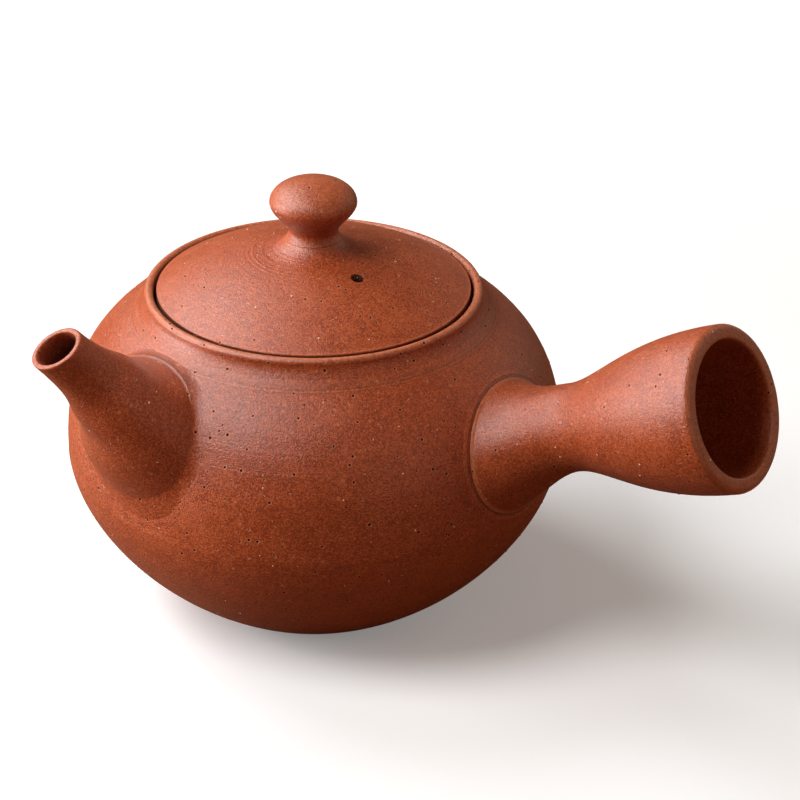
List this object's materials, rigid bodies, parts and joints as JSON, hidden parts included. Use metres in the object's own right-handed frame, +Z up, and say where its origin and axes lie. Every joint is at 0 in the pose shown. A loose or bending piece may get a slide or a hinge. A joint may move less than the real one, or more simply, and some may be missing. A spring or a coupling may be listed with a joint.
{
  "type": "side-handled teapot",
  "caption": "Round unglazed clay teapot with a hollow trumpet side handle, a flared pouring spout with a clay strainer inside, and a drop-in domed lid with a knob.",
  "frame": {"origin": "middle of the flat foot, on the axis of the body", "axes": "+Z up along the axis of the body, +X the way the handle points, the spout towards -Y"},
  "size_m": [0.157, 0.1197, 0.0931],
  "materials": {
    "clay_body": "matte with a soft sheen",
    "clay_spout": "matte with a soft sheen",
    "clay_handle": "matte with a soft sheen",
    "clay_strainer": "matte",
    "clay_lid": "matte with a soft sheen",
    "clay_knob": "matte with a soft sheen"
  },
  "bodies": {
    "pot": {"body": "clay_body", "spout": "clay_spout", "handle": "clay_handle", "strainer": "clay_strainer"},
    "lid": {"lid": "clay_lid", "knob": "clay_knob"}
  },
  "joints": [
    {"name": "lid_lift", "type": "slide", "parent": "pot", "child": "lid", "axis": [0, 0, 1], "range_m": [0, 0.08]}
  ]
}
